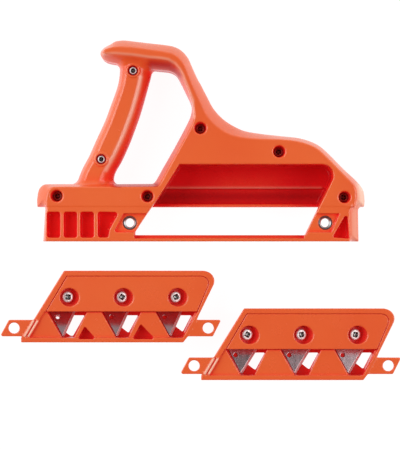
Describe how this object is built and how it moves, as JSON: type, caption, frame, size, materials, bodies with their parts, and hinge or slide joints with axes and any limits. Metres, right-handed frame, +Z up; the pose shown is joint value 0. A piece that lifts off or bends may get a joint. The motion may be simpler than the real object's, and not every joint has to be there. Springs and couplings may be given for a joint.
{
  "type": "drywall edge plane",
  "caption": "Hand plane for bevelling plasterboard edges, with a closed D grip and an empty window, lying beside its two interchangeable cartridges of pointed blades.",
  "frame": {"origin": "centre of the whole kit's footprint, on the bench that the three pieces lie on", "axes": "+Z up from the bench and out of the front faces, +X along the sole towards the nose, +Y from the sole up to the grip"},
  "size_m": [0.3028, 0.2574, 0.045],
  "materials": {
    "orange_plastic": "glossy moulded ABS, orange",
    "screw_steel": "bright zinc plate",
    "insert_steel": "turned steel, slightly dull",
    "blade_steel": "ground blade steel",
    "insert_brass": "turned brass"
  },
  "bodies": {
    "plane": {"front_shell": "orange_plastic", "rear_shell": "orange_plastic", "shell_screws": "screw_steel", "grip_screws": "screw_steel", "seat_insert_left": "insert_steel", "seat_insert_right": "insert_steel"},
    "steep_cartridge": {"steep_base": "orange_plastic", "steep_clamp_plate": "orange_plastic", "steep_blade_left": "blade_steel", "steep_blade_middle": "blade_steel", "steep_blade_right": "blade_steel", "steep_clamp_screws": "screw_steel", "steep_thread_inserts": "insert_brass"},
    "shallow_cartridge": {"shallow_base": "orange_plastic", "shallow_clamp_plate": "orange_plastic", "shallow_blade_left": "blade_steel", "shallow_blade_middle": "blade_steel", "shallow_blade_right": "blade_steel", "shallow_clamp_screws": "screw_steel", "shallow_thread_inserts": "insert_brass"}
  },
  "joints": [
    {"name": "steep_cartridge_lift", "type": "slide", "parent": "plane", "child": "steep_cartridge", "axis": [0, 0, 1], "range_m": [0, 0.08]},
    {"name": "shallow_cartridge_lift", "type": "slide", "parent": "plane", "child": "shallow_cartridge", "axis": [0, 0, 1], "range_m": [0, 0.08]}
  ]
}
